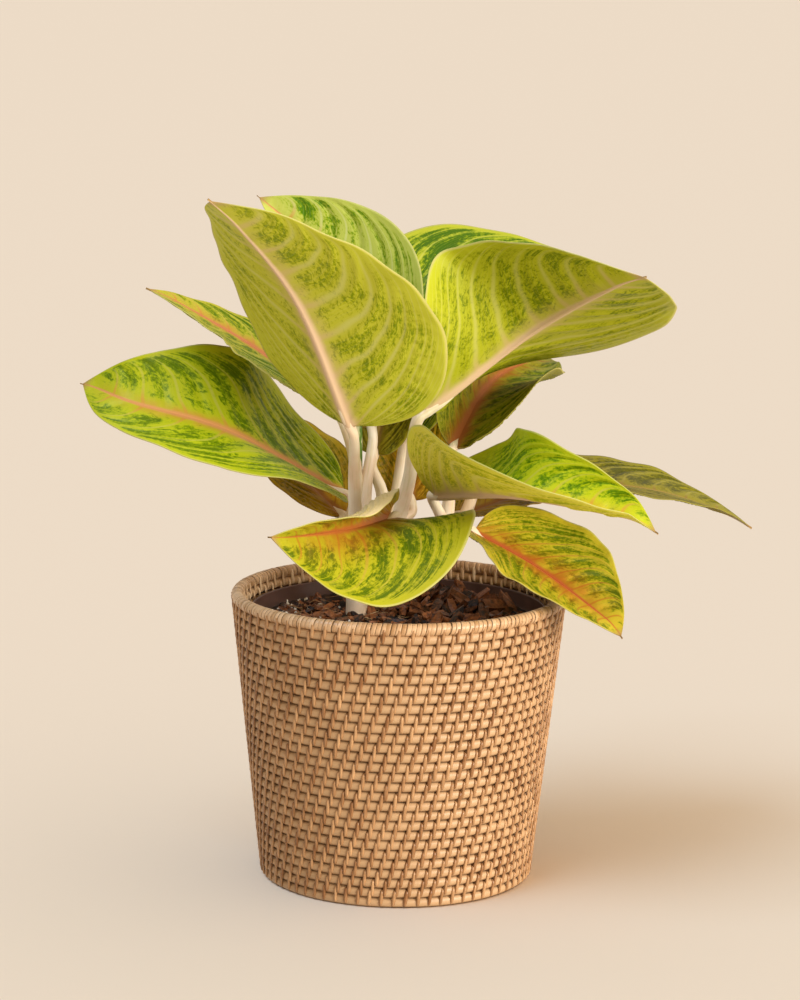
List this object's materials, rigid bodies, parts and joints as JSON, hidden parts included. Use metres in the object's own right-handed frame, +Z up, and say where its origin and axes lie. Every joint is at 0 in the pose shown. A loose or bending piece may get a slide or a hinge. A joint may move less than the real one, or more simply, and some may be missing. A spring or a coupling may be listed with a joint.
{
  "type": "potted aglaonema in a basket",
  "caption": "Leafy houseplant with broad mottled pointed leaves on pale stalks, in a round nursery pot inside a tapered coiled rattan basket.",
  "frame": {"origin": "centre of the basket's flat foot, on the surface it stands on", "axes": "+Z up along the basket's axis, -Y towards the viewer of the picture, +X to the viewer's right"},
  "size_m": [0.4669, 0.3231, 0.4786],
  "materials": {
    "rattan": "woven and lightly varnished",
    "pot_plastic": "moulded, satin",
    "bark_mix": "loose, rough",
    "petiole": "smooth and waxy",
    "young_leaf": "smooth, striped",
    "leaf_pale": "pale under side, satin",
    "leaf_green": "mottled, glossy",
    "leaf_deep_green": "mottled, glossy",
    "leaf_coral": "mottled with coral veins, satin",
    "leaf_olive": "mottled, satin",
    "leaf_bronze": "shaded under side, satin"
  },
  "bodies": {
    "root": {"basket": "rattan", "nursery_pot": "pot_plastic", "potting_mix": "bark_mix", "stem_left": "petiole", "stem_middle": "petiole", "stem_right": "petiole", "new_leaf_rolled": "young_leaf", "leaf_tall_front_left": "leaf_pale", "leaf_tall_front_right": "leaf_pale", "leaf_tall_back_left": "leaf_green", "leaf_tall_back_right": "leaf_deep_green", "leaf_mid_left": "leaf_green", "leaf_low_left": "leaf_green", "leaf_low_back_left": "leaf_bronze", "leaf_low_front": "leaf_coral", "leaf_mid_right": "leaf_green", "leaf_long_right": "leaf_olive", "leaf_low_right": "leaf_coral", "leaf_mid_back_right": "leaf_deep_green", "leaf_low_back": "leaf_bronze", "leaf_low_back_right": "leaf_bronze", "leaf_inner_back": "leaf_olive"}
  },
  "joints": []
}
